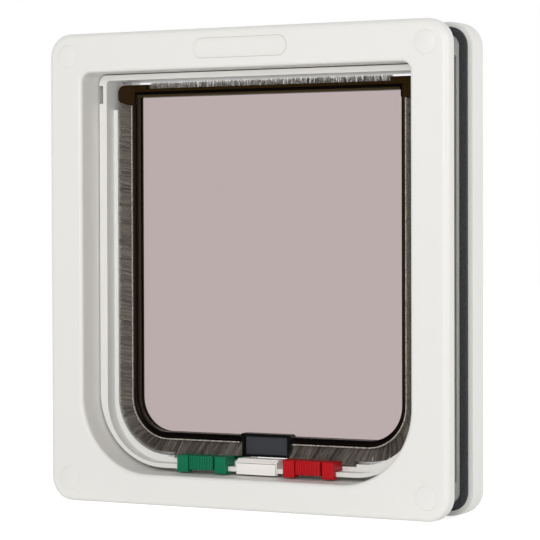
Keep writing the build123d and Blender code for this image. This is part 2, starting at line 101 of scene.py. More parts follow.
# Which finish each node takes
MOULDED_WHITE = ("inside_frame", "outside_frame", "screw_caps")
PLATED_STEEL = ("fixing_screws", "hinge_pin_left", "hinge_pin_right")
FERRITE = ("frame_magnet", "flap_magnet")

# Flap's outline, which its rim, the brush strips and the panel's edge follow
FLAP_HALF = 81.8 * MM
FLAP_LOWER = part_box("flap_panel")[0].z
FLAP_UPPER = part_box("brush_top")[0].z
FLAP_LOWER_RADIUS = 22.0 * MM
RIM_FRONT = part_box("flap_panel")[0].y
RIM_UPPER = 4.6 * MM
CARRIER_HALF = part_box("magnet_carrier")[1].x
ARC_STEPS = 24

# Inside frame's flat face, and the stadium raised on it
STADIUM_RAISED = 0.4 * MM
INSIDE_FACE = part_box("inside_frame")[0].y + STADIUM_RAISED

# Bands on the smoked rim, in from its edge: its own smoke tint, with painted shade in the black band on the
# inner wall
OLIVE_ENDS = 1.5 * MM
BLACK_STARTS = 1.8 * MM
BLACK_ENDS = 3.2 * MM
BROWN_STARTS = 3.6 * MM

# Where the rim turns brown behind its front, as painted light for what shows lit through the panel, and where
# the other bands come in above its foot, with painted shade leaving it black below
BROWN_DEPTHS = (2.0 * MM, 2.6 * MM)
LIT_TINT_HEIGHTS = (5.0 * MM, 40.0 * MM)

# Blender's own IOR, which metals keep
METAL_IOR = 1.5

# Strength of bumps: a moulding's grain, and cells or threads
GRAIN_BUMP = 0.05
CELL_BUMP = 0.5

# Bristles: sides, width of the tip as a share of the root's, and how much of a shade isn't the tuft's
BRISTLE_SIDES = 3
TIP_WIDTH = 0.5
OWN_SHADE = 0.4

# Values that smooth noise mostly keeps to
NOISE_LOW = 0.3
NOISE_HIGH = 0.7


def linear(hex_code):
    """Linear RGBA from an sRGB hex value, by the sRGB curve."""
    channels = [int(hex_code[place:place + 2], 16) / 255 for place in (1, 3, 5)]
    bent = [c / 12.92 if c <= 0.04045 else ((c + 0.055) / 1.055) ** 2.4 for c in channels]
    return (*bent, 1.0)


def add_node(tree, kind, settings=None, links=None, values=None):
    """Add one node: its settings, the sockets that feed it, and its constant inputs."""
    node = tree.nodes.new(kind)
    for name, value in (settings or {}).items():
        setattr(node, name, value)
    for socket, value in (values or {}).items():
        node.inputs[socket].default_value = value
    for socket, source in (links or {}).items():
        tree.links.new(source, node.inputs[socket])
    return node


def colour_property(name, hex_code, description):
    """Colour that a user may change, kept as linear RGBA."""
    return FloatVectorProperty(name=name, description=description, default=linear(hex_code),
                               size=4, min=0.0, max=1.0, subtype="COLOR")


def length_property(name, millimetres, description):
    """Length that a user may change, shown in scene units."""
    return FloatProperty(name=name, description=description, default=millimetres * MM, min=0.0,
                         precision=5, unit="LENGTH", subtype="DISTANCE")


class PetDoorFinishes(bpy.types.PropertyGroup):
    """Colours of the pet door's materials."""

    white: colour_property("White ABS", "#EBEAE6", "Moulded frames and caps")
    # Painted light: a brighter copy of the frames' white, so that the housing, shaded deep in the tunnel,
    # looks as bright as they do
    bright: colour_property("White ABS, bright", "#F9F5F0", "Magnet housing")
    # Painted shadow: a dark line for the shade at the foot of the housing's raised pad
    pad_shadow: colour_property("Pad shadow", "#77756F", "Shaded line round the pad on the magnet housing")
    # Painted shade: a faint line for the shade at the foot of the raised stadium
    foot: colour_property("Foot of outline", "#C6C4BF", "Shaded line round the raised stadium on the front")
    smoke: colour_property("Smoked panel", "#BCAEAD", "What a pale wall looks like through the flap")
    # Rim bands: the smoke's own tint, with painted shade in the black on the inner wall and towards the foot,
    # and painted light in the brown behind the front
    olive: colour_property("Flap rim, edge", "#2A1C05", "Smoked moulding on the lugs and its outer edge")
    rim: colour_property("Flap rim, thick", "#080402", "Smoked moulding where it is thickest")
    brown: colour_property("Flap rim, inside", "#3A2F1A", "Smoked moulding where it steps down to the panel")
    pile_dark: colour_property("Pile, dark", "#47403A", "Darkest bristles")
    pile_pale: colour_property("Pile, pale", "#B3A99E", "Palest bristles")
    backing: colour_property("Pile backing", "#CFC8BF", "Woven tape that the bristles stand in")
    backing_dark: colour_property("Pile backing, gaps", "#6E6760", "Between the tape's threads")
    foam: colour_property("Seal foam", "#2F3032", "Weather seal between frame and door leaf")
    foam_pale: colour_property("Seal foam, cells", "#4C4F51", "Cut cells on the weather seal")
    green: colour_property("Exit slider", "#087553", "Slider that locks the way out")
    red: colour_property("Entry slider", "#BC0916", "Slider that locks the way in")
    steel: colour_property("Plated steel", "#B9BCC0", "Screws and hinge pins")
    ferrite: colour_property("Ferrite", "#33363C", "Bar magnets")


class PetDoorBrush(bpy.types.PropertyGroup):
    """Sizes of the brush strips."""

    pile_length: length_property("Pile length", 7.7, "From the flap's edge to the bristle tips")
    top_length: length_property("Top pile length", 3.6, "Pile above the flap's top bar")
    low_length: length_property("Lower pile length", 9.9, "Pile over the recess in the tunnel's ledge")
    low_half: length_property("Recess half width", 54.0, "Half of that recess")
    arm_length: length_property("Pile over arm", 7.8, "Pile that rests on the exit slider's arm")
    arm_from: length_property("Over arm from", 11.0, "Where the pile over the arm starts, from the middle")
    arm_to: length_property("Over arm to", 29.0, "Where the pile over the arm ends, from the middle")
    bristle_radius: length_property("Bristle radius", 0.11, "Coarser than real pile, so that it shows")
    tape_thickness: length_property("Tape thickness", 0.45, "Woven tape on the flap's edge")
    tape_lip: length_property("Tape lip", 0.15, "How far the tape covers the front of the flap's rim")
    tape_fold: length_property("Tape fold", 0.25, "Thickness of the tape in front of the rim")
    root_behind: length_property("Roots behind hinge", 0.7, "From the hinge line back to the row of tufts")
    root_depth: length_property("Root depth", 2.2, "Depth of the row of tufts")
    clump: length_property("Clump size", 5.0, "Size of the locks that lean together")
    tuft: length_property("Tuft size", 0.45, "Size of the tufts that share a shade")
    tuck: length_property("Tuck", 2.6, "How far the left pile starts behind the carrier, as it slants away")
    lean: FloatProperty(name="Lean", description="Most that a lock leans, as a share of its length",
                        default=0.16, min=0.0, max=1.0)
    stray: FloatProperty(name="Stray", description="Most that a bristle leaves its lock, as a share",
                         default=0.1, min=0.0, max=1.0)
    forward: length_property("Forward spread", 1.4, "How far the tips spread in front of the CAD strip")
    slant: FloatProperty(name="Slant", description="Lean that all bristles share, along the strip",
                         default=0.25, min=-1.0, max=1.0)
    per_metre: IntProperty(name="Bristles per metre", description="Along a side strip", default=60000,
                           min=1000)
    top_per_metre: IntProperty(name="Top bristles per metre", description="Along the top strip",
                               default=13000, min=1000)


class PetDoorStage(bpy.types.PropertyGroup):
    """Place and lens of the camera."""

    yaw: FloatProperty(name="Yaw", description="Camera's turn round the door", default=math.radians(28.771),
                       subtype="ANGLE")
    pitch: FloatProperty(name="Pitch", description="Camera's height as an angle", default=math.radians(1.143),
                         subtype="ANGLE")
    roll: FloatProperty(name="Roll", description="Camera's tilt", default=math.radians(-0.171),
                        subtype="ANGLE")
    distance: length_property("Distance", 1259.75, "From the camera to its aim on the inside face")
    aim_x: length_property("Aim across", 17.765, "Place on the inside face that the camera aims at")
    aim_height: length_property("Aim height", 124.626, "Height on the inside face that the camera aims at")
    lens: FloatProperty(name="Lens", description="Focal length on a 36 mm sensor", default=164.03, min=10.0)


def plastic(name, colour, roughness, ior=1.53, gloss=0.5):
    """Plain moulded plastic: an even colour under a soft gloss."""
    material = bpy.data.materials.new(name)
    material.use_nodes = True
    shader = material.node_tree.nodes["Principled BSDF"]
    shader.inputs["Base Color"].default_value = colour
    shader.inputs["Roughness"].default_value = roughness
    shader.inputs["IOR"].default_value = ior
    shader.inputs["Specular IOR Level"].default_value = gloss
    return material


def grained(material, grain_size, depth):
    """Give a moulding the fine grain of a spark-eroded mould, drawn coarse enough to show."""
    tree = material.node_tree
    place = add_node(tree, "ShaderNodeTexCoord")
    grain = add_node(tree, "ShaderNodeTexNoise", links={"Vector": place.outputs["Object"]},
                     values={"Scale": 1 / grain_size, "Detail": 2.0})
    bump = add_node(tree, "ShaderNodeBump", links={"Height": grain.outputs["Fac"]},
                    values={"Strength": GRAIN_BUMP, "Distance": depth})
    tree.links.new(bump.outputs["Normal"], tree.nodes["Principled BSDF"].inputs["Normal"])
    return material


def white_abs(name, colour):
    """ABS from a spark-eroded mould: satin, with a grain just coarse enough to break its gloss."""
    return grained(plastic(name, colour, roughness=0.42), grain_size=0.8 * MM, depth=0.05 * MM)


def shaded_abs(name, colour):
    """The same ABS in the corner at the foot of a raised form: dull, and darker for want of light."""
    return grained(plastic(name, colour, roughness=0.6), grain_size=0.8 * MM, depth=0.05 * MM)


def black_abs(finishes):
    """Black ABS from a finer mould: nearly black, with a weak gloss."""
    material = plastic("black_abs", finishes.rim, roughness=0.35, gloss=0.2)
    return grained(material, grain_size=0.6 * MM, depth=0.03 * MM)


def acetal(name, colour):
    """Moulded acetal: strong colour with a waxy, slightly grained shine."""
    material = plastic(name, colour, roughness=0.38, ior=1.48, gloss=0.25)
    return grained(material, grain_size=0.6 * MM, depth=0.03 * MM)


def smoked_panel(finishes):
    """Clear polycarbonate with a smoke tint: thin, so what lies behind shows through it."""
    material = plastic("smoked_polycarbonate", finishes.smoke, roughness=0.02, ior=1.3)
    material.node_tree.nodes["Principled BSDF"].inputs["Transmission Weight"].default_value = 1.0
    return material


def smoked_rim(finishes):
    """Smoked polycarbonate where it is thick: olive at the edge, black where thickest, brown inside. Partly
    its smoke tint, partly painted light: painted shade in the black of the inner wall and towards the foot,
    painted light in the brown behind the front.
    """
    material = plastic("smoked_polycarbonate_rim", finishes.rim, roughness=0.25, ior=1.5, gloss=0.1)
    tree = material.node_tree
    shader = tree.nodes["Principled BSDF"]
    edge = add_node(tree, "ShaderNodeAttribute", {"attribute_name": "edge_distance"})
    share = add_node(tree, "ShaderNodeMapRange", links={"Value": edge.outputs["Fac"]},
                     values={"From Max": RIM_UPPER})
    bands = add_node(tree, "ShaderNodeValToRGB", links={"Fac": share.outputs["Result"]})
    stops = ((OLIVE_ENDS, finishes.olive), (BLACK_STARTS, finishes.rim), (BLACK_ENDS, finishes.rim),
             (BROWN_STARTS, finishes.brown))
    ramp = bands.color_ramp.elements
    ramp.remove(ramp[1])
    ramp[0].color = finishes.olive
    for distance, colour in stops:
        ramp.new(distance / RIM_UPPER).color = colour
    place = add_node(tree, "ShaderNodeTexCoord")
    parted = add_node(tree, "ShaderNodeSeparateXYZ", links={"Vector": place.outputs["Object"]})
    # Painted light: faces behind the rim's front turn brown, as if lit through the panel
    brown_from, brown_full = [RIM_FRONT + depth for depth in BROWN_DEPTHS]
    lit_behind = add_node(tree, "ShaderNodeMapRange", links={"Value": parted.outputs["Y"]},
                    values={"From Min": brown_from, "From Max": brown_full})
    # Painted shade: the other bands fade to black towards the flap's foot
    lit_from, lit_full = [FLAP_LOWER + above for above in LIT_TINT_HEIGHTS]
    height = add_node(tree, "ShaderNodeMapRange", links={"Value": parted.outputs["Z"]},
                      values={"From Min": lit_from, "From Max": lit_full})
    shaded_foot = add_node(tree, "ShaderNodeMixRGB",
                     links={"Fac": height.outputs["Result"], "Color2": bands.outputs["Color"]},
                     values={"Color1": finishes.rim})
    mix = add_node(tree, "ShaderNodeMixRGB",
                   links={"Fac": lit_behind.outputs["Result"], "Color1": shaded_foot.outputs["Color"]},
                   values={"Color2": finishes.brown})
    tree.links.new(mix.outputs["Color"], shader.inputs["Base Color"])
    return material


def nylon_pile(finishes):
    """Crimped nylon pile: tufts from dark to pale grey, without gloss."""
    material = plastic("grey_nylon_pile", finishes.pile_pale, roughness=0.75)
    tree = material.node_tree
    shade = add_node(tree, "ShaderNodeAttribute", {"attribute_name": "bristle_shade"})
    mix = add_node(tree, "ShaderNodeMixRGB", links={"Fac": shade.outputs["Fac"]},
                   values={"Color1": finishes.pile_dark, "Color2": finishes.pile_pale})
    tree.links.new(mix.outputs["Color"], tree.nodes["Principled BSDF"].inputs["Base Color"])
    return material


def pitted(material, pale, dark, cell_size, depth):
    """Cells of one real size: pale in their middle, dark and low between them."""
    tree = material.node_tree
    shader = tree.nodes["Principled BSDF"]
    place = add_node(tree, "ShaderNodeTexCoord")
    cells = add_node(tree, "ShaderNodeTexVoronoi", links={"Vector": place.outputs["Object"]},
                     values={"Scale": 1 / cell_size})
    mix = add_node(tree, "ShaderNodeMixRGB", links={"Fac": cells.outputs["Distance"]},
                   values={"Color1": pale, "Color2": dark})
    bump = add_node(tree, "ShaderNodeBump", {"invert": True}, {"Height": cells.outputs["Distance"]},
                    {"Strength": CELL_BUMP, "Distance": depth})
    tree.links.new(mix.outputs["Color"], shader.inputs["Base Color"])
    tree.links.new(bump.outputs["Normal"], shader.inputs["Normal"])
    return material


def seal_foam(finishes):
    """Closed-cell foam: dark, dull and pitted where it was cut, with cells drawn coarse enough to show."""
    material = plastic("closed_cell_foam", finishes.foam, roughness=0.9)
    return pitted(material, finishes.foam_pale, finishes.foam, cell_size=0.7 * MM, depth=0.2 * MM)


def woven_tape(finishes):
    """Woven polypropylene tape: pale threads that stand up like rows of beads."""
    material = plastic("woven_polypropylene", finishes.backing, roughness=0.7)
    return pitted(material, finishes.backing, finishes.backing_dark, cell_size=1.0 * MM, depth=0.2 * MM)


def plated_steel(finishes):
    """Zinc-plated steel: a dull grey metal shine."""
    material = plastic("zinc_plated_steel", finishes.steel, roughness=0.35, ior=METAL_IOR)
    material.node_tree.nodes["Principled BSDF"].inputs["Metallic"].default_value = 1.0
    return grained(material, grain_size=0.5 * MM, depth=0.03 * MM)


def ground_ferrite(finishes):
    """Sintered ferrite with ground faces: dark grey, with a stony half shine."""
    material = plastic("ground_ferrite", finishes.ferrite, roughness=0.4, ior=1.6)
    return grained(material, grain_size=0.4 * MM, depth=0.03 * MM)


def finish_nodes(names, material):
    """Give CAD nodes one material."""
    for name in names:
        mesh = NODES[name].data
        mesh.materials.clear()
        mesh.materials.append(material)


def new_piece(name, mesh, body):
    """Link a finished mesh as a piece that rides on a body."""
    piece = bpy.data.objects.new(name, mesh)
    bpy.context.scene.collection.objects.link(piece)
    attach(piece, body)
    return piece


def edge_distance(place):
    """How far a place on the flap lies inside its outer edge."""
    across = abs(place.x)
    corner_x = FLAP_HALF - FLAP_LOWER_RADIUS
    corner_z = FLAP_LOWER + FLAP_LOWER_RADIUS
    if across > corner_x and place.z < corner_z:
        return FLAP_LOWER_RADIUS - math.hypot(across - corner_x, place.z - corner_z)
    return min(FLAP_HALF - across, place.z - FLAP_LOWER, FLAP_UPPER - place.z)


def edge_path(side, upper):
    """One side of the flap's edge, clockwise, between the magnet carrier and the lug."""
    corner_x, corner_z = FLAP_HALF - FLAP_LOWER_RADIUS, FLAP_LOWER + FLAP_LOWER_RADIUS
    turns = [math.radians(90) * step / ARC_STEPS for step in range(ARC_STEPS + 1)]
    points = [(CARRIER_HALF, FLAP_LOWER)]
    points += [(corner_x + FLAP_LOWER_RADIUS * math.sin(t), corner_z - FLAP_LOWER_RADIUS * math.cos(t))
               for t in turns]
    points.append((FLAP_HALF, upper))
    if side > 0:
        points.reverse()
    return [(side * x, z) for x, z in points]


def rail_mesh(name, path, section):
    """Carry a section along a path. Its points give how far they lie outside the path, and their depth."""
    shell = bmesh.new()
    rings = []
    last = len(path) - 1
    for place, (x, z) in enumerate(path):
        before, after = path[max(place - 1, 0)], path[min(place + 1, last)]
        along = Vector((after[0] - before[0], after[1] - before[1])).normalized()
        rings.append([shell.verts.new((x - along.y * outside, depth, z + along.x * outside))
                      for outside, depth in section])
    for ring, after in zip(rings, rings[1:]):
        for corner in range(len(section)):
            shell.faces.new((ring[corner], ring[corner - 1], after[corner - 1], after[corner]))
    shell.faces.new(rings[0])
    shell.faces.new(reversed(rings[-1]))
    bmesh.ops.recalc_face_normals(shell, faces=shell.faces)
    mesh = bpy.data.meshes.new(name)
    shell.to_mesh(mesh)
    shell.free()
    return mesh


class PETDOOR_OT_frames(bpy.types.Operator):
    """Finish both frames, their caps and the magnet housing in white ABS, with lines of painted shade at the
    foot of the housing's pad and of the stadium
    """

    bl_idname = "petdoor.frames"
    bl_label = "Frames"

    PAD_INSET = 0.6 * MM
    PAD_BELOW_TOP = 2.4 * MM
    PAD_RAISED = 0.35 * MM
    STADIUM_HALF = 27.5 * MM
    STADIUM_RADIUS = 5.0 * MM
    STADIUM_Z = 239.5 * MM
    LINE_WIDTH = 0.3 * MM
    LINE_FILM = 0.03 * MM

    def execute(self, context):
        finishes = context.scene.petdoor_finishes
        finish_nodes(MOULDED_WHITE, white_abs("white_abs_satin", finishes.white))
        # Painted light: the housing takes the brighter white to make up for the shade it gets in the tunnel
        finish_nodes(("magnet_housing",), white_abs("white_abs_painted_light", finishes.bright))
        self.add_pad_shadow(finishes)
        self.add_stadium_shade(finishes)
        return {"FINISHED"}

    def add_pad_shadow(self, finishes):
        """Painted shadow: a dark line at the foot of the raised pad on the magnet housing's front."""
        low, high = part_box("magnet_housing")
        half, top = high.x - self.PAD_INSET, high.z - self.PAD_BELOW_TOP
        path = [(-half, low.z), (-half, top), (half, top), (half, low.z)]
        self.add_line("pad_shadow_line", path, low.y + self.PAD_RAISED, finishes.pad_shadow)

    def add_stadium_shade(self, finishes):
        """Painted shade: a faint line at the foot of the raised stadium on the inside frame's top band."""
        radius = self.STADIUM_RADIUS
        turns = [math.radians(180) * step / ARC_STEPS for step in range(ARC_STEPS + 1)]
        right = [(self.STADIUM_HALF - radius + radius * math.sin(turn), radius * math.cos(turn))
                 for turn in turns]
        left = [(-x, -z) for x, z in right]
        path = [(x, self.STADIUM_Z + z) for x, z in ((0.0, radius), *right, *left, (0.0, radius))]
        self.add_line("stadium_shade_line", path, INSIDE_FACE, finishes.foot)

    def add_line(self, name, path, face, colour):
        """Thin shaded line on a face, just outside a path."""
        front = face - self.LINE_FILM
        section = ((0.0, face), (self.LINE_WIDTH, face), (self.LINE_WIDTH, front), (0.0, front))
        mesh = rail_mesh(name, path, section)
        mesh.materials.append(shaded_abs(name + "_abs", colour))
        new_piece(name, mesh, "frame")


class PETDOOR_OT_seal(bpy.types.Operator):
    """Finish the weather seal in dark foam"""

    bl_idname = "petdoor.seal"
    bl_label = "Weather seal"

    def execute(self, context):
        finish_nodes(("weather_seal",), seal_foam(context.scene.petdoor_finishes))
        return {"FINISHED"}


class PETDOOR_OT_hardware(bpy.types.Operator):
    """Finish screws, hinge pins, magnets and the magnet carrier"""

    bl_idname = "petdoor.hardware"
    bl_label = "Screws, pins and magnets"

    def execute(self, context):
        finishes = context.scene.petdoor_finishes
        finish_nodes(PLATED_STEEL, plated_steel(finishes))
        finish_nodes(FERRITE, ground_ferrite(finishes))
        finish_nodes(("magnet_carrier",), black_abs(finishes))
        return {"FINISHED"}


class PETDOOR_OT_locks(bpy.types.Operator):
    """Finish the green and the red lock slider"""

    bl_idname = "petdoor.locks"
    bl_label = "Lock sliders"

    def execute(self, context):
        finishes = context.scene.petdoor_finishes
        finish_nodes(("exit_lock_slider",), acetal("green_acetal", finishes.green))
        finish_nodes(("entry_lock_slider",), acetal("red_acetal", finishes.red))
        return {"FINISHED"}


class PETDOOR_OT_flap(bpy.types.Operator):
    """Finish the flap moulding: a see-through panel in a rim that is thick enough to look black, with painted
    light and shade in the rim's bands
    """

    bl_idname = "petdoor.flap"
    bl_label = "Flap"

    PANEL, RIM = 0, 1
    FACES_THROUGH = 0.9
    PANEL_FRONT = -1.0 * MM
    PANEL_BACK = 3.0 * MM

    def execute(self, context):
        finishes = context.scene.petdoor_finishes
        mesh = self.moulding()
        mesh.materials.append(smoked_panel(finishes))
        mesh.materials.append(smoked_rim(finishes))
        flap = new_piece("flap_moulding", mesh, "flap")
        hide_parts("flap_panel")
        return {"FINISHED"}

    def moulding(self):
        """Copy of the CAD panel that knows its edge, with a cut at each upper corner where the tints meet."""
        shell = bmesh.new()
        shell.from_mesh(NODES["flap_panel"].data)
        bmesh.ops.remove_doubles(shell, verts=shell.verts, dist=MERGE_BELOW)
        for side in (-1, 1):
            bmesh.ops.bisect_plane(shell, geom=[*shell.verts, *shell.edges, *shell.faces],
                                   plane_co=(side * FLAP_HALF, 0.0, FLAP_UPPER), plane_no=(1.0, 0.0, -side))
        distance = shell.verts.layers.float.new("edge_distance")
        for vertex in shell.verts:
            vertex[distance] = edge_distance(vertex.co)
        for face in shell.faces:
            face.material_index = self.finish_of(face)
            face.smooth = face.material_index != self.PANEL
        for edge in shell.edges:
            edge.smooth = edge.calc_face_angle(0.0) < SMOOTH_BELOW
        mesh = bpy.data.meshes.new("flap_moulding")
        shell.to_mesh(mesh)
        shell.free()
        return mesh

    def finish_of(self, face):
        """Panel for the flat faces inside the rim, rim for the rest."""
        flat = abs(face.normal.y) > self.FACES_THROUGH
        depth = face.calc_center_median().y - HINGE_Y
        return self.PANEL if flat and self.PANEL_FRONT < depth < self.PANEL_BACK else self.RIM


def path_length(path):
    """Length of the straight runs through the points."""
    return sum(math.dist(a, b) for a, b in zip(path, path[1:]))


def tucked(path, tuck):
    """The same path with its first point moved along X, behind the magnet carrier."""
    (first_x, first_z), *others = path
    return [(first_x + tuck, first_z), *others]


def path_mesh(name, path, depth):
    """Line through the points at one depth, for the bristle tree to follow."""
    mesh = bpy.data.meshes.new(name)
    edges = [(place, place + 1) for place in range(len(path) - 1)]
    mesh.from_pydata([(x, depth, z) for x, z in path], edges, [])
    return mesh


BRISTLE_INPUTS = {
    "Count": "NodeSocketInt",
    "Seed": "NodeSocketInt",
    "Length": "NodeSocketFloat",
    "Shortest": "NodeSocketFloat",
    "Long Length": "NodeSocketFloat",
    "Long Half Width": "NodeSocketFloat",
    "Short Length": "NodeSocketFloat",
    "Short From": "NodeSocketFloat",
    "Short To": "NodeSocketFloat",
    "Radius": "NodeSocketFloat",
    "Root Depth": "NodeSocketFloat",
    "Fan": "NodeSocketFloat",
    "Backward": "NodeSocketFloat",
    "Lean": "NodeSocketFloat",
    "Stray": "NodeSocketFloat",
    "Slant": "NodeSocketFloat",
    "Clump Size": "NodeSocketFloat",
    "Tuft Size": "NodeSocketFloat",
    "Material": "NodeSocketMaterial",
}


def bristle_tree():
    """Tree that stands a tapered bristle on each of many points of a line, each with its lean and shade."""
    tree = bpy.data.node_groups.new("bristles", "GeometryNodeTree")
    tree.interface.new_socket("Line", in_out="INPUT", socket_type="NodeSocketGeometry")
    for name, kind in BRISTLE_INPUTS.items():
        tree.interface.new_socket(name, in_out="INPUT", socket_type=kind)
    tree.interface.new_socket("Bristles", in_out="OUTPUT", socket_type="NodeSocketGeometry")
    given = add_node(tree, "NodeGroupInput").outputs
    add, scale_by, divide = {"operation": "ADD"}, {"operation": "SCALE"}, {"operation": "DIVIDE"}
    multiply, multiply_add = {"operation": "MULTIPLY"}, {"operation": "MULTIPLY_ADD"}
    number, less = {"data_type": "FLOAT"}, {"data_type": "FLOAT", "operation": "LESS_THAN"}

    # Roots: a row of points along the line, spread through the tape's depth
    line = add_node(tree, "GeometryNodeMeshToCurve", links={"Mesh": given["Line"]})
    roots = add_node(tree, "GeometryNodeCurveToPoints", {"mode": "COUNT"},
                     {"Curve": line.outputs["Curve"], "Count": given["Count"]})
    row = add_node(tree, "FunctionNodeRandomValue", number, {"Seed": given["Seed"]},
                   {"Min": -0.5, "Max": 0.5})
    depth = add_node(tree, "ShaderNodeMath", multiply, {0: row.outputs["Value"], 1: given["Root Depth"]})
    shift = add_node(tree, "ShaderNodeCombineXYZ", links={"Y": depth.outputs[0]})
    spread = add_node(tree, "GeometryNodeSetPosition",
                      links={"Geometry": roots.outputs["Points"], "Offset": shift.outputs["Vector"]})

    # Aim: outwards, fanned through the depth, slanted along the strip, with locks and strays
    place = add_node(tree, "GeometryNodeInputPosition")
    per_clump = add_node(tree, "ShaderNodeMath", divide, {1: given["Clump Size"]}, {0: 1.0})
    clump = add_node(tree, "ShaderNodeTexNoise",
                     links={"Vector": place.outputs[0], "Scale": per_clump.outputs[0]},
                     values={"Detail": 1.0})
    swing = add_node(tree, "ShaderNodeMapRange", links={"Value": clump.outputs["Fac"]},
                     values={"From Min": NOISE_LOW, "From Max": NOISE_HIGH, "To Min": -1.0, "To Max": 1.0})
    sway = add_node(tree, "ShaderNodeMath", multiply_add,
                    {0: swing.outputs["Result"], 1: given["Lean"], 2: given["Slant"]})
    along = add_node(tree, "ShaderNodeVectorMath", scale_by,
                     {"Vector": roots.outputs["Tangent"], "Scale": sway.outputs[0]})
    out = add_node(tree, "ShaderNodeVectorMath", {"operation": "CROSS_PRODUCT"},
                   {0: roots.outputs["Tangent"]}, {1: (0.0, 1.0, 0.0)})
    fan = add_node(tree, "ShaderNodeMath", multiply_add,
                   {0: row.outputs["Value"], 1: given["Fan"], 2: given["Backward"]})
    splay = add_node(tree, "ShaderNodeCombineXYZ", links={"Y": fan.outputs[0]})
    opposite = add_node(tree, "ShaderNodeMath", multiply, {0: given["Stray"]}, {1: -1.0})
    stray = add_node(tree, "FunctionNodeRandomValue", {"data_type": "FLOAT_VECTOR"},
                     {"Min": opposite.outputs[0], "Max": given["Stray"], "Seed": given["Seed"]})
    leaning = add_node(tree, "ShaderNodeVectorMath", add, {0: out.outputs[0], 1: along.outputs[0]})
    fanned = add_node(tree, "ShaderNodeVectorMath", add, {0: leaning.outputs[0], 1: splay.outputs[0]})
    aim = add_node(tree, "ShaderNodeVectorMath", add, {0: fanned.outputs[0], 1: stray.outputs["Value"]})
    turn = add_node(tree, "FunctionNodeAlignRotationToVector", {"axis": "Z"}, {"Vector": aim.outputs[0]})

    # Length: what reaches the tunnel's wall at that aim, less over the exit slider's arm, and uneven
    parted = add_node(tree, "ShaderNodeSeparateXYZ", links={"Vector": place.outputs[0]})
    across = add_node(tree, "ShaderNodeMath", {"operation": "ABSOLUTE"}, {0: parted.outputs["X"]})
    lowered = add_node(tree, "FunctionNodeCompare", less,
                       {"A": across.outputs[0], "B": given["Long Half Width"]})
    after = add_node(tree, "FunctionNodeCompare", less, {"A": given["Short From"], "B": across.outputs[0]})
    before = add_node(tree, "FunctionNodeCompare", less, {"A": across.outputs[0], "B": given["Short To"]})
    over_arm = add_node(tree, "FunctionNodeBooleanMath", {"operation": "AND"},
                        {0: after.outputs[0], 1: before.outputs[0]})
    usual = add_node(tree, "GeometryNodeSwitch", {"input_type": "FLOAT"},
                     {"Switch": lowered.outputs[0], "False": given["Length"], "True": given["Long Length"]})
    reach = add_node(tree, "GeometryNodeSwitch", {"input_type": "FLOAT"},
                     {"Switch": over_arm.outputs[0], "False": usual.outputs[0],
                      "True": given["Short Length"]})
    uneven = add_node(tree, "FunctionNodeRandomValue", number,
                      {"Min": given["Shortest"], "Seed": given["Seed"]}, {"Max": 1.0})
    straight = add_node(tree, "ShaderNodeMath", multiply, {0: reach.outputs[0], 1: uneven.outputs["Value"]})
    stretch = add_node(tree, "ShaderNodeVectorMath", {"operation": "LENGTH"}, {0: aim.outputs[0]})
    outward = add_node(tree, "ShaderNodeVectorMath", {"operation": "DOT_PRODUCT"},
                       {0: aim.outputs[0], 1: out.outputs[0]})
    slope = add_node(tree, "ShaderNodeMath", divide,
                     {0: stretch.outputs["Value"], 1: outward.outputs["Value"]})
    length = add_node(tree, "ShaderNodeMath", multiply, {0: straight.outputs[0], 1: slope.outputs[0]})
    scale = add_node(tree, "ShaderNodeCombineXYZ",
                     links={"X": given["Radius"], "Y": given["Radius"], "Z": length.outputs[0]})

    # Bristles, each with a shade that is mostly its tuft's
    bristle = add_node(tree, "GeometryNodeMeshCone", {"fill_type": "NGON"},
                       values={"Vertices": BRISTLE_SIDES, "Side Segments": 1, "Radius Top": TIP_WIDTH,
                               "Radius Bottom": 1.0, "Depth": 1.0})
    stood = add_node(tree, "GeometryNodeInstanceOnPoints",
                     links={"Points": spread.outputs["Geometry"], "Instance": bristle.outputs["Mesh"],
                            "Rotation": turn.outputs["Rotation"], "Scale": scale.outputs[0]})
    per_tuft = add_node(tree, "ShaderNodeMath", divide, {1: given["Tuft Size"]}, {0: 1.0})
    on_edge = add_node(tree, "ShaderNodeCombineXYZ",
                       links={"X": parted.outputs["X"], "Z": parted.outputs["Z"]})
    tuft = add_node(tree, "ShaderNodeTexNoise",
                    links={"Vector": on_edge.outputs[0], "Scale": per_tuft.outputs[0]},
                    values={"Detail": 0.0})
    tone = add_node(tree, "ShaderNodeMapRange", links={"Value": tuft.outputs["Fac"]},
                    values={"From Min": NOISE_LOW, "From Max": NOISE_HIGH})
    own = add_node(tree, "FunctionNodeRandomValue", number, {"Seed": given["Seed"]})
    tint = add_node(tree, "ShaderNodeMix", number, {"A": tone.outputs["Result"], "B": own.outputs["Value"]},
                    {"Factor": OWN_SHADE})
    shaded = add_node(tree, "GeometryNodeStoreNamedAttribute", {"data_type": "FLOAT", "domain": "INSTANCE"},
                      {"Geometry": stood.outputs["Instances"], "Value": tint.outputs["Result"]},
                      {"Name": "bristle_shade"})
    real = add_node(tree, "GeometryNodeRealizeInstances", links={"Geometry": shaded.outputs["Geometry"]})
    finished = add_node(tree, "GeometryNodeSetMaterial",
                        links={"Geometry": real.outputs["Geometry"], "Material": given["Material"]})
    add_node(tree, "NodeGroupOutput", links={"Bristles": finished.outputs["Geometry"]})
    return tree


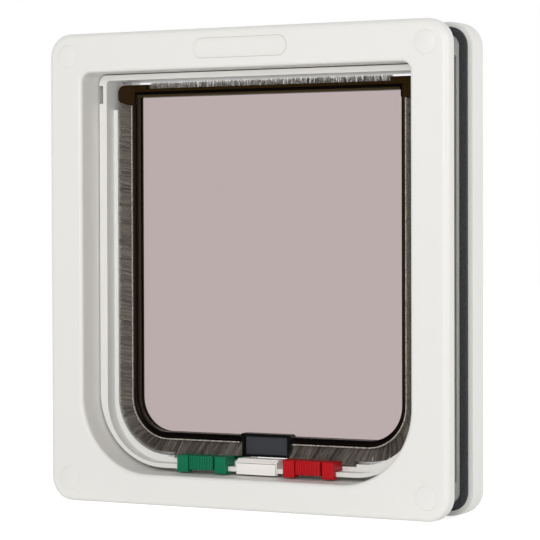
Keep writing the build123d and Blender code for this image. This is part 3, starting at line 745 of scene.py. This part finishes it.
def grow_bristles(name, tree, path, depth, sizes):
    """Run the bristle tree on a path and keep its result as a plain mesh."""
    line = bpy.data.objects.new(name + "_line", path_mesh(name + "_line", path, depth))
    bpy.context.scene.collection.objects.link(line)
    modifier = line.modifiers.new("bristles", "NODES")
    modifier.node_group = tree
    for socket in tree.interface.items_tree:
        if socket.in_out == "INPUT" and socket.name in sizes:
            modifier[socket.identifier] = sizes[socket.name]
    bpy.context.view_layer.update()
    shown = line.evaluated_get(bpy.context.evaluated_depsgraph_get())
    mesh = bpy.data.meshes.new_from_object(shown)
    line.modifiers.remove(modifier)
    bpy.data.objects.remove(line)
    mesh.name = name
    return mesh


class PETDOOR_OT_brushes(bpy.types.Operator):
    """Stand bristles and their backing tape on the flap's edges"""

    bl_idname = "petdoor.brushes"
    bl_label = "Brush strips"

    SEEDS = {"brush_left": 1, "brush_right": 3, "brush_top": 4}
    SIDE_SHORTEST = 0.93
    TOP_SHORTEST = 0.7
    TOP_FAN = 0.5

    def execute(self, context):
        finishes, brush = context.scene.petdoor_finishes, context.scene.petdoor_brush
        pile, tape, tree = nylon_pile(finishes), woven_tape(finishes), bristle_tree()
        shared = {"Radius": brush.bristle_radius, "Clump Size": brush.clump, "Tuft Size": brush.tuft,
                  "Lean": brush.lean, "Stray": brush.stray, "Root Depth": brush.root_depth, "Material": pile}
        roots = HINGE_Y + brush.root_behind
        for side, node in ((-1, "brush_left"), (1, "brush_right")):
            low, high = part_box(node)
            path = edge_path(side, high.z)
            sizes = shared | self.side_sizes(node, path, brush) | self.side_aim(low.y, high.y, roots, brush)
            if side < 0:
                sizes |= self.over_arm(brush)
            self.add_strip(node, tree, tucked(path, brush.tuck) if side < 0 else path, roots, sizes)
            self.add_tape(node, path, high.y, tape, brush)
        low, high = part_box("brush_top")
        path = [(low.x, low.z), (high.x, low.z)]
        sizes = {"Count": int(brush.top_per_metre * path_length(path)), "Seed": self.SEEDS["brush_top"],
                 "Length": brush.top_length, "Shortest": self.TOP_SHORTEST, "Long Length": brush.top_length,
                 "Fan": self.TOP_FAN, "Slant": 0.0}
        self.add_strip("brush_top", tree, path, (low.y + high.y) / 2, shared | sizes)
        return {"FINISHED"}

    def side_sizes(self, node, path, brush):
        """How many bristles a side strip has, and how long they are."""
        return {"Count": int(brush.per_metre * path_length(path)), "Seed": self.SEEDS[node],
                "Length": brush.pile_length, "Shortest": self.SIDE_SHORTEST,
                "Long Length": brush.low_length, "Long Half Width": brush.low_half}

    def side_aim(self, front, back, roots, brush):
        """How a side strip's bristles spread from their roots to the depth of the CAD strip."""
        foremost = front - brush.forward
        return {"Fan": (back - foremost - brush.root_depth) / brush.pile_length,
                "Backward": ((foremost + back) / 2 - roots) / brush.pile_length, "Slant": brush.slant}

    def over_arm(self, brush):
        """Shorter pile where the left strip rests on the exit slider's arm."""
        return {"Short Length": brush.arm_length, "Short From": brush.arm_from, "Short To": brush.arm_to}

    def add_strip(self, node, tree, path, depth, sizes):
        """Pile that stands for one of the CAD strips."""
        mesh = grow_bristles(node + "_pile", tree, path, depth, sizes)
        piece = new_piece(node + "_pile", mesh, "flap")
        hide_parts(node)

    def add_tape(self, node, path, back, tape, brush):
        """Tape that one strip's bristles stand in, folded over the rim's front edge."""
        outside, lip = brush.tape_thickness, -brush.tape_lip
        front = RIM_FRONT - brush.tape_fold
        section = ((lip, front), (outside, front), (outside, back), (0.0, back), (0.0, RIM_FRONT),
                   (lip, RIM_FRONT))
        mesh = rail_mesh(node + "_backing", path, section)
        mesh.materials.append(tape)
        new_piece(node + "_backing", mesh, "flap")


class PETDOOR_OT_stage(bpy.types.Operator):
    """Set up the floor, the light and the camera"""

    bl_idname = "petdoor.stage"
    bl_label = "Stage"

    def execute(self, context):
        scene = context.scene
        stage = scene.petdoor_stage
        self.add_camera(scene, stage)
        self.add_world(scene)
        self.add_floor(scene)
        for light in LIGHTS:
            self.add_light(scene, *light)
        scene.view_settings.view_transform = "Standard"
        return {"FINISHED"}

    def add_camera(self, scene, stage):
        """Camera at the view worked out from the frame's corners."""
        level = math.cos(stage.pitch)
        back = Vector((math.sin(stage.yaw) * level, -math.cos(stage.yaw) * level, math.sin(stage.pitch)))
        right = (-back).cross(Vector((0, 0, 1))).normalized()
        up = right.cross(-back)
        turned_right = math.cos(stage.roll) * right + math.sin(stage.roll) * up
        turned_up = math.cos(stage.roll) * up - math.sin(stage.roll) * right
        data = bpy.data.cameras.new("camera")
        data.sensor_width = SENSOR_WIDTH
        data.lens = stage.lens
        camera = bpy.data.objects.new("camera", data)
        camera.rotation_mode = "QUATERNION"
        camera.rotation_quaternion = Matrix((turned_right, turned_up, back)).transposed().to_quaternion()
        camera.location = Vector((stage.aim_x, INSIDE_FACE, stage.aim_height)) + back * stage.distance
        scene.collection.objects.link(camera)
        scene.camera = camera

    def mirrored(self, tree, place):
        """What shiny faces see: white behind the door, and a dim room in front of it."""
        parted = add_node(tree, "ShaderNodeSeparateXYZ", links={"Vector": place})
        return add_node(tree, "ShaderNodeMapRange", links={"Value": parted.outputs["Y"]},
                        values={"From Min": ROOM_ENDS, "From Max": WHITE_STARTS, "To Min": ROOM_LIGHT,
                                "To Max": 1.0})

    def add_world(self, scene):
        """Even studio light, with a plain white background for the camera and through the panel."""
        world = bpy.data.worlds.new("studio")
        world.use_nodes = True
        tree = world.node_tree
        tree.nodes.clear()
        number = {"data_type": "FLOAT"}
        rays = add_node(tree, "ShaderNodeLightPath")
        seen = add_node(tree, "ShaderNodeMath", {"operation": "MAXIMUM"},
                        {0: rays.outputs["Is Camera Ray"], 1: rays.outputs["Is Transmission Ray"]})
        heading = add_node(tree, "ShaderNodeTexCoord")
        mirrored = self.mirrored(tree, heading.outputs["Generated"])
        lit = add_node(tree, "ShaderNodeMix", number,
                       {"Factor": rays.outputs["Is Glossy Ray"], "B": mirrored.outputs["Result"]},
                       {"A": AMBIENT_LIGHT})
        strength = add_node(tree, "ShaderNodeMix", number,
                            {"Factor": seen.outputs[0], "A": lit.outputs["Result"]}, {"B": 1.0})
        light = add_node(tree, "ShaderNodeBackground", links={"Strength": strength.outputs["Result"]},
                         values={"Color": (1, 1, 1, 1)})
        add_node(tree, "ShaderNodeOutputWorld", links={"Surface": light.outputs[0]})
        scene.world = world

    def add_floor(self, scene):
        """White floor that fades into the background and keeps the door's shadow."""
        mesh = bpy.data.meshes.new("floor")
        corners = [(x * FLOOR_REACH, y * FLOOR_REACH, 0) for x, y in ((-1, -1), (1, -1), (1, 1), (-1, 1))]
        mesh.from_pydata(corners, [], [(0, 1, 2, 3)])
        material = plastic("floor_white", linear(FLOOR_WHITE), roughness=0.9)
        tree = material.node_tree
        shader = tree.nodes["Principled BSDF"]
        rays = add_node(tree, "ShaderNodeLightPath")
        lift = add_node(tree, "ShaderNodeMath", {"operation": "MULTIPLY_ADD"},
                        {0: rays.outputs["Is Camera Ray"]}, {1: FLOOR_LIFT - FLOOR_GLOW, 2: FLOOR_GLOW})
        shader.inputs["Emission Color"].default_value = (1, 1, 1, 1)
        tree.links.new(lift.outputs[0], shader.inputs["Emission Strength"])
        place = add_node(tree, "ShaderNodeTexCoord")
        mirrored = self.mirrored(tree, place.outputs["Object"])
        strength = add_node(tree, "ShaderNodeMix", {"data_type": "FLOAT"},
                            {"Factor": rays.outputs["Is Transmission Ray"], "A": mirrored.outputs["Result"]},
                            {"B": 1.0})
        plain = add_node(tree, "ShaderNodeEmission", links={"Strength": strength.outputs["Result"]})
        beyond = add_node(tree, "ShaderNodeMath", {"operation": "MAXIMUM"},
                          {0: rays.outputs["Is Transmission Ray"], 1: rays.outputs["Is Glossy Ray"]})
        mix = add_node(tree, "ShaderNodeMixShader",
                       links={0: beyond.outputs[0], 1: shader.outputs[0], 2: plain.outputs[0]})
        tree.links.new(mix.outputs[0], tree.nodes["Material Output"].inputs["Surface"])
        mesh.materials.append(material)
        floor = bpy.data.objects.new("floor", mesh)
        scene.collection.objects.link(floor)

    def add_light(self, scene, name, place, size, power):
        """Square soft box that faces the door."""
        data = bpy.data.lights.new(name, "AREA")
        data.size = size
        data.energy = power
        light = bpy.data.objects.new(name, data)
        light.location = place
        light.rotation_mode = "QUATERNION"
        aim = Vector((0, 0, CAD_BOX[1][2] / 2)) - Vector(place)
        light.rotation_quaternion = aim.to_track_quat("-Z", "Y")
        scene.collection.objects.link(light)


class VIEW3D_PT_pet_door(bpy.types.Panel):
    """Steps that dress the pet door"""

    bl_label = "Pet Door"
    bl_space_type = "VIEW_3D"
    bl_region_type = "UI"
    bl_category = "Pet Door"

    def draw(self, context):
        for step in STEPS:
            self.layout.operator(step.bl_idname)


STEPS = (PETDOOR_OT_frames, PETDOOR_OT_seal, PETDOOR_OT_hardware, PETDOOR_OT_locks, PETDOOR_OT_flap,
         PETDOOR_OT_brushes, PETDOOR_OT_stage)
GROUPS = {"petdoor_finishes": PetDoorFinishes, "petdoor_brush": PetDoorBrush, "petdoor_stage": PetDoorStage}


def register():
    """Register the groups, the steps and the panel, and hang the groups on the scene."""
    for group in GROUPS.values():
        bpy.utils.register_class(group)
    for name, group in GROUPS.items():
        setattr(bpy.types.Scene, name, PointerProperty(type=group))
    for step in (*STEPS, VIEW3D_PT_pet_door):
        bpy.utils.register_class(step)


def unregister():
    """Take away what register added."""
    for step in (VIEW3D_PT_pet_door, *reversed(STEPS)):
        bpy.utils.unregister_class(step)
    for name, group in GROUPS.items():
        delattr(bpy.types.Scene, name)
        bpy.utils.unregister_class(group)


def main():
    register()
    bpy.ops.petdoor.frames()
    bpy.ops.petdoor.seal()
    bpy.ops.petdoor.hardware()
    bpy.ops.petdoor.locks()
    bpy.ops.petdoor.flap()
    bpy.ops.petdoor.brushes()
    bpy.ops.petdoor.stage()


if __name__ == "__main__":
    main()
